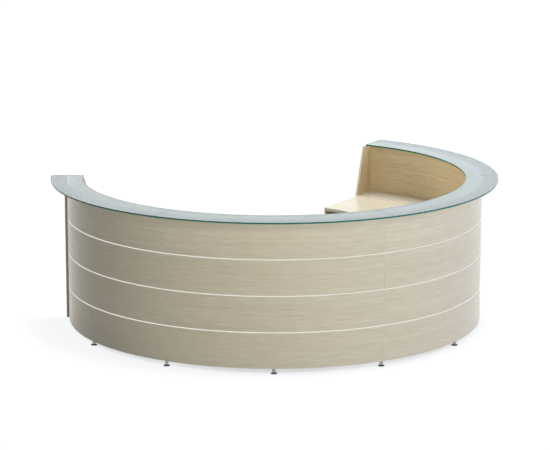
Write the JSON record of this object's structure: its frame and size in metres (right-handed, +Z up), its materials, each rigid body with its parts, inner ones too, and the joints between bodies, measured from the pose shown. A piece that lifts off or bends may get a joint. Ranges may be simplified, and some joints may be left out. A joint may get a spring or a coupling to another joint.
{
  "type": "reception desk",
  "caption": "Curved reception desk of bent wood panels with let-in metal strips, a raised glass counter on spacers, an inner worktop, slanted end panels and screw feet.",
  "frame": {"origin": "on the floor, under the middle of the plan's bounding box", "axes": "+Z up, +X along the desk's width, the middle of the curved front faces -Y and the opening faces +Y"},
  "size_m": [3.45, 2.5788, 1.15],
  "materials": {
    "oak_veneer": "satin veneer, fine horizontal grain",
    "counter_glass": "pale translucent float glass, polished arris, green edge",
    "aluminium_strip": "satin",
    "chrome_foot": "polished",
    "steel_fitting": "satin",
    "black_plastic": "matte"
  },
  "bodies": {
    "desk": {"front_panel_1": "oak_veneer", "worktop_1": "oak_veneer", "glass_top_1": "counter_glass", "foot_bracket_1": "steel_fitting", "accent_strip_1_1": "aluminium_strip", "accent_strip_1_2": "aluminium_strip", "accent_strip_1_3": "aluminium_strip", "glass_spacer_1_a": "steel_fitting", "glass_spacer_1_b": "steel_fitting", "glass_spacer_1_c": "steel_fitting", "front_panel_2": "oak_veneer", "worktop_2": "oak_veneer", "glass_top_2": "counter_glass", "foot_bracket_2": "steel_fitting", "accent_strip_2_1": "aluminium_strip", "accent_strip_2_2": "aluminium_strip", "accent_strip_2_3": "aluminium_strip", "glass_spacer_2_a": "steel_fitting", "glass_spacer_2_b": "steel_fitting", "glass_spacer_2_c": "steel_fitting", "front_panel_3": "oak_veneer", "worktop_3": "oak_veneer", "glass_top_3": "counter_glass", "foot_bracket_3": "steel_fitting", "accent_strip_3_1": "aluminium_strip", "accent_strip_3_2": "aluminium_strip", "accent_strip_3_3": "aluminium_strip", "glass_spacer_3_a": "steel_fitting", "glass_spacer_3_b": "steel_fitting", "glass_spacer_3_c": "steel_fitting", "front_panel_4": "oak_veneer", "worktop_4": "oak_veneer", "glass_top_4": "counter_glass", "foot_bracket_4": "steel_fitting", "accent_strip_4_1": "aluminium_strip", "accent_strip_4_2": "aluminium_strip", "accent_strip_4_3": "aluminium_strip", "glass_spacer_4_a": "steel_fitting", "glass_spacer_4_b": "steel_fitting", "glass_spacer_4_c": "steel_fitting", "end_panel_left": "oak_veneer", "end_panel_right": "oak_veneer", "support_panel_1": "oak_veneer", "support_panel_2": "oak_veneer", "support_panel_3": "oak_veneer"},
    "foot_1": {"levelling_foot_1": "chrome_foot"},
    "foot_2": {"levelling_foot_2": "chrome_foot"},
    "foot_3": {"levelling_foot_3": "chrome_foot"},
    "foot_4": {"levelling_foot_4": "chrome_foot"},
    "foot_5": {"levelling_foot_5": "chrome_foot"},
    "foot_6": {"levelling_foot_6": "chrome_foot"},
    "foot_7": {"levelling_foot_7": "chrome_foot"},
    "foot_8": {"levelling_foot_8": "chrome_foot"},
    "foot_9": {"levelling_foot_9": "chrome_foot"},
    "foot_10": {"levelling_foot_10": "chrome_foot"},
    "glide_1": {"end_glide_1": "black_plastic"},
    "glide_2": {"end_glide_2": "black_plastic"},
    "glide_3": {"end_glide_3": "black_plastic"},
    "glide_4": {"end_glide_4": "black_plastic"}
  },
  "joints": [
    {"name": "foot_1_height", "type": "slide", "parent": "desk", "child": "foot_1", "axis": [0, 0, 1], "range_m": [-0.01, 0.01]},
    {"name": "foot_2_height", "type": "slide", "parent": "desk", "child": "foot_2", "axis": [0, 0, 1], "range_m": [-0.01, 0.01]},
    {"name": "foot_3_height", "type": "slide", "parent": "desk", "child": "foot_3", "axis": [0, 0, 1], "range_m": [-0.01, 0.01]},
    {"name": "foot_4_height", "type": "slide", "parent": "desk", "child": "foot_4", "axis": [0, 0, 1], "range_m": [-0.01, 0.01]},
    {"name": "foot_5_height", "type": "slide", "parent": "desk", "child": "foot_5", "axis": [0, 0, 1], "range_m": [-0.01, 0.01]},
    {"name": "foot_6_height", "type": "slide", "parent": "desk", "child": "foot_6", "axis": [0, 0, 1], "range_m": [-0.01, 0.01]},
    {"name": "foot_7_height", "type": "slide", "parent": "desk", "child": "foot_7", "axis": [0, 0, 1], "range_m": [-0.01, 0.01]},
    {"name": "foot_8_height", "type": "slide", "parent": "desk", "child": "foot_8", "axis": [0, 0, 1], "range_m": [-0.01, 0.01]},
    {"name": "foot_9_height", "type": "slide", "parent": "desk", "child": "foot_9", "axis": [0, 0, 1], "range_m": [-0.01, 0.01]},
    {"name": "foot_10_height", "type": "slide", "parent": "desk", "child": "foot_10", "axis": [0, 0, 1], "range_m": [-0.01, 0.01]},
    {"name": "glide_1_height", "type": "slide", "parent": "desk", "child": "glide_1", "axis": [0, 0, 1], "range_m": [-0.008, 0.005]},
    {"name": "glide_2_height", "type": "slide", "parent": "desk", "child": "glide_2", "axis": [0, 0, 1], "range_m": [-0.008, 0.005]},
    {"name": "glide_3_height", "type": "slide", "parent": "desk", "child": "glide_3", "axis": [0, 0, 1], "range_m": [-0.008, 0.005]},
    {"name": "glide_4_height", "type": "slide", "parent": "desk", "child": "glide_4", "axis": [0, 0, 1], "range_m": [-0.008, 0.005]}
  ]
}
